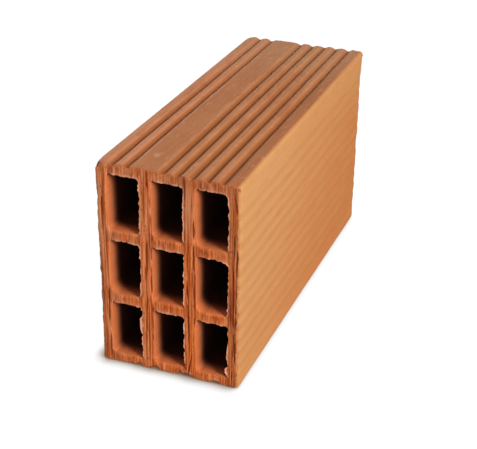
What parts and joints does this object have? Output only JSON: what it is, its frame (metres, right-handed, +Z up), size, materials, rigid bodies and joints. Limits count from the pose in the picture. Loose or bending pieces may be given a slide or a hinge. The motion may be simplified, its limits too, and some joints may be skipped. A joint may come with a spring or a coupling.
{
  "type": "hollow brick",
  "caption": "Extruded fired-clay hollow brick with rectangular tubes open at both wire-cut ends and ribbed outer faces that key mortar and plaster.",
  "frame": {"origin": "middle of the bottom face, on the surface the brick lies on", "axes": "+Y along the tubes, away from the end the picture shows; +X across the cut end, to that end's right; +Z up"},
  "size_m": [0.12, 0.33, 0.18],
  "materials": {
    "fired_clay": "matte"
  },
  "bodies": {
    "root": {"hollow_brick": "fired_clay"}
  },
  "joints": []
}
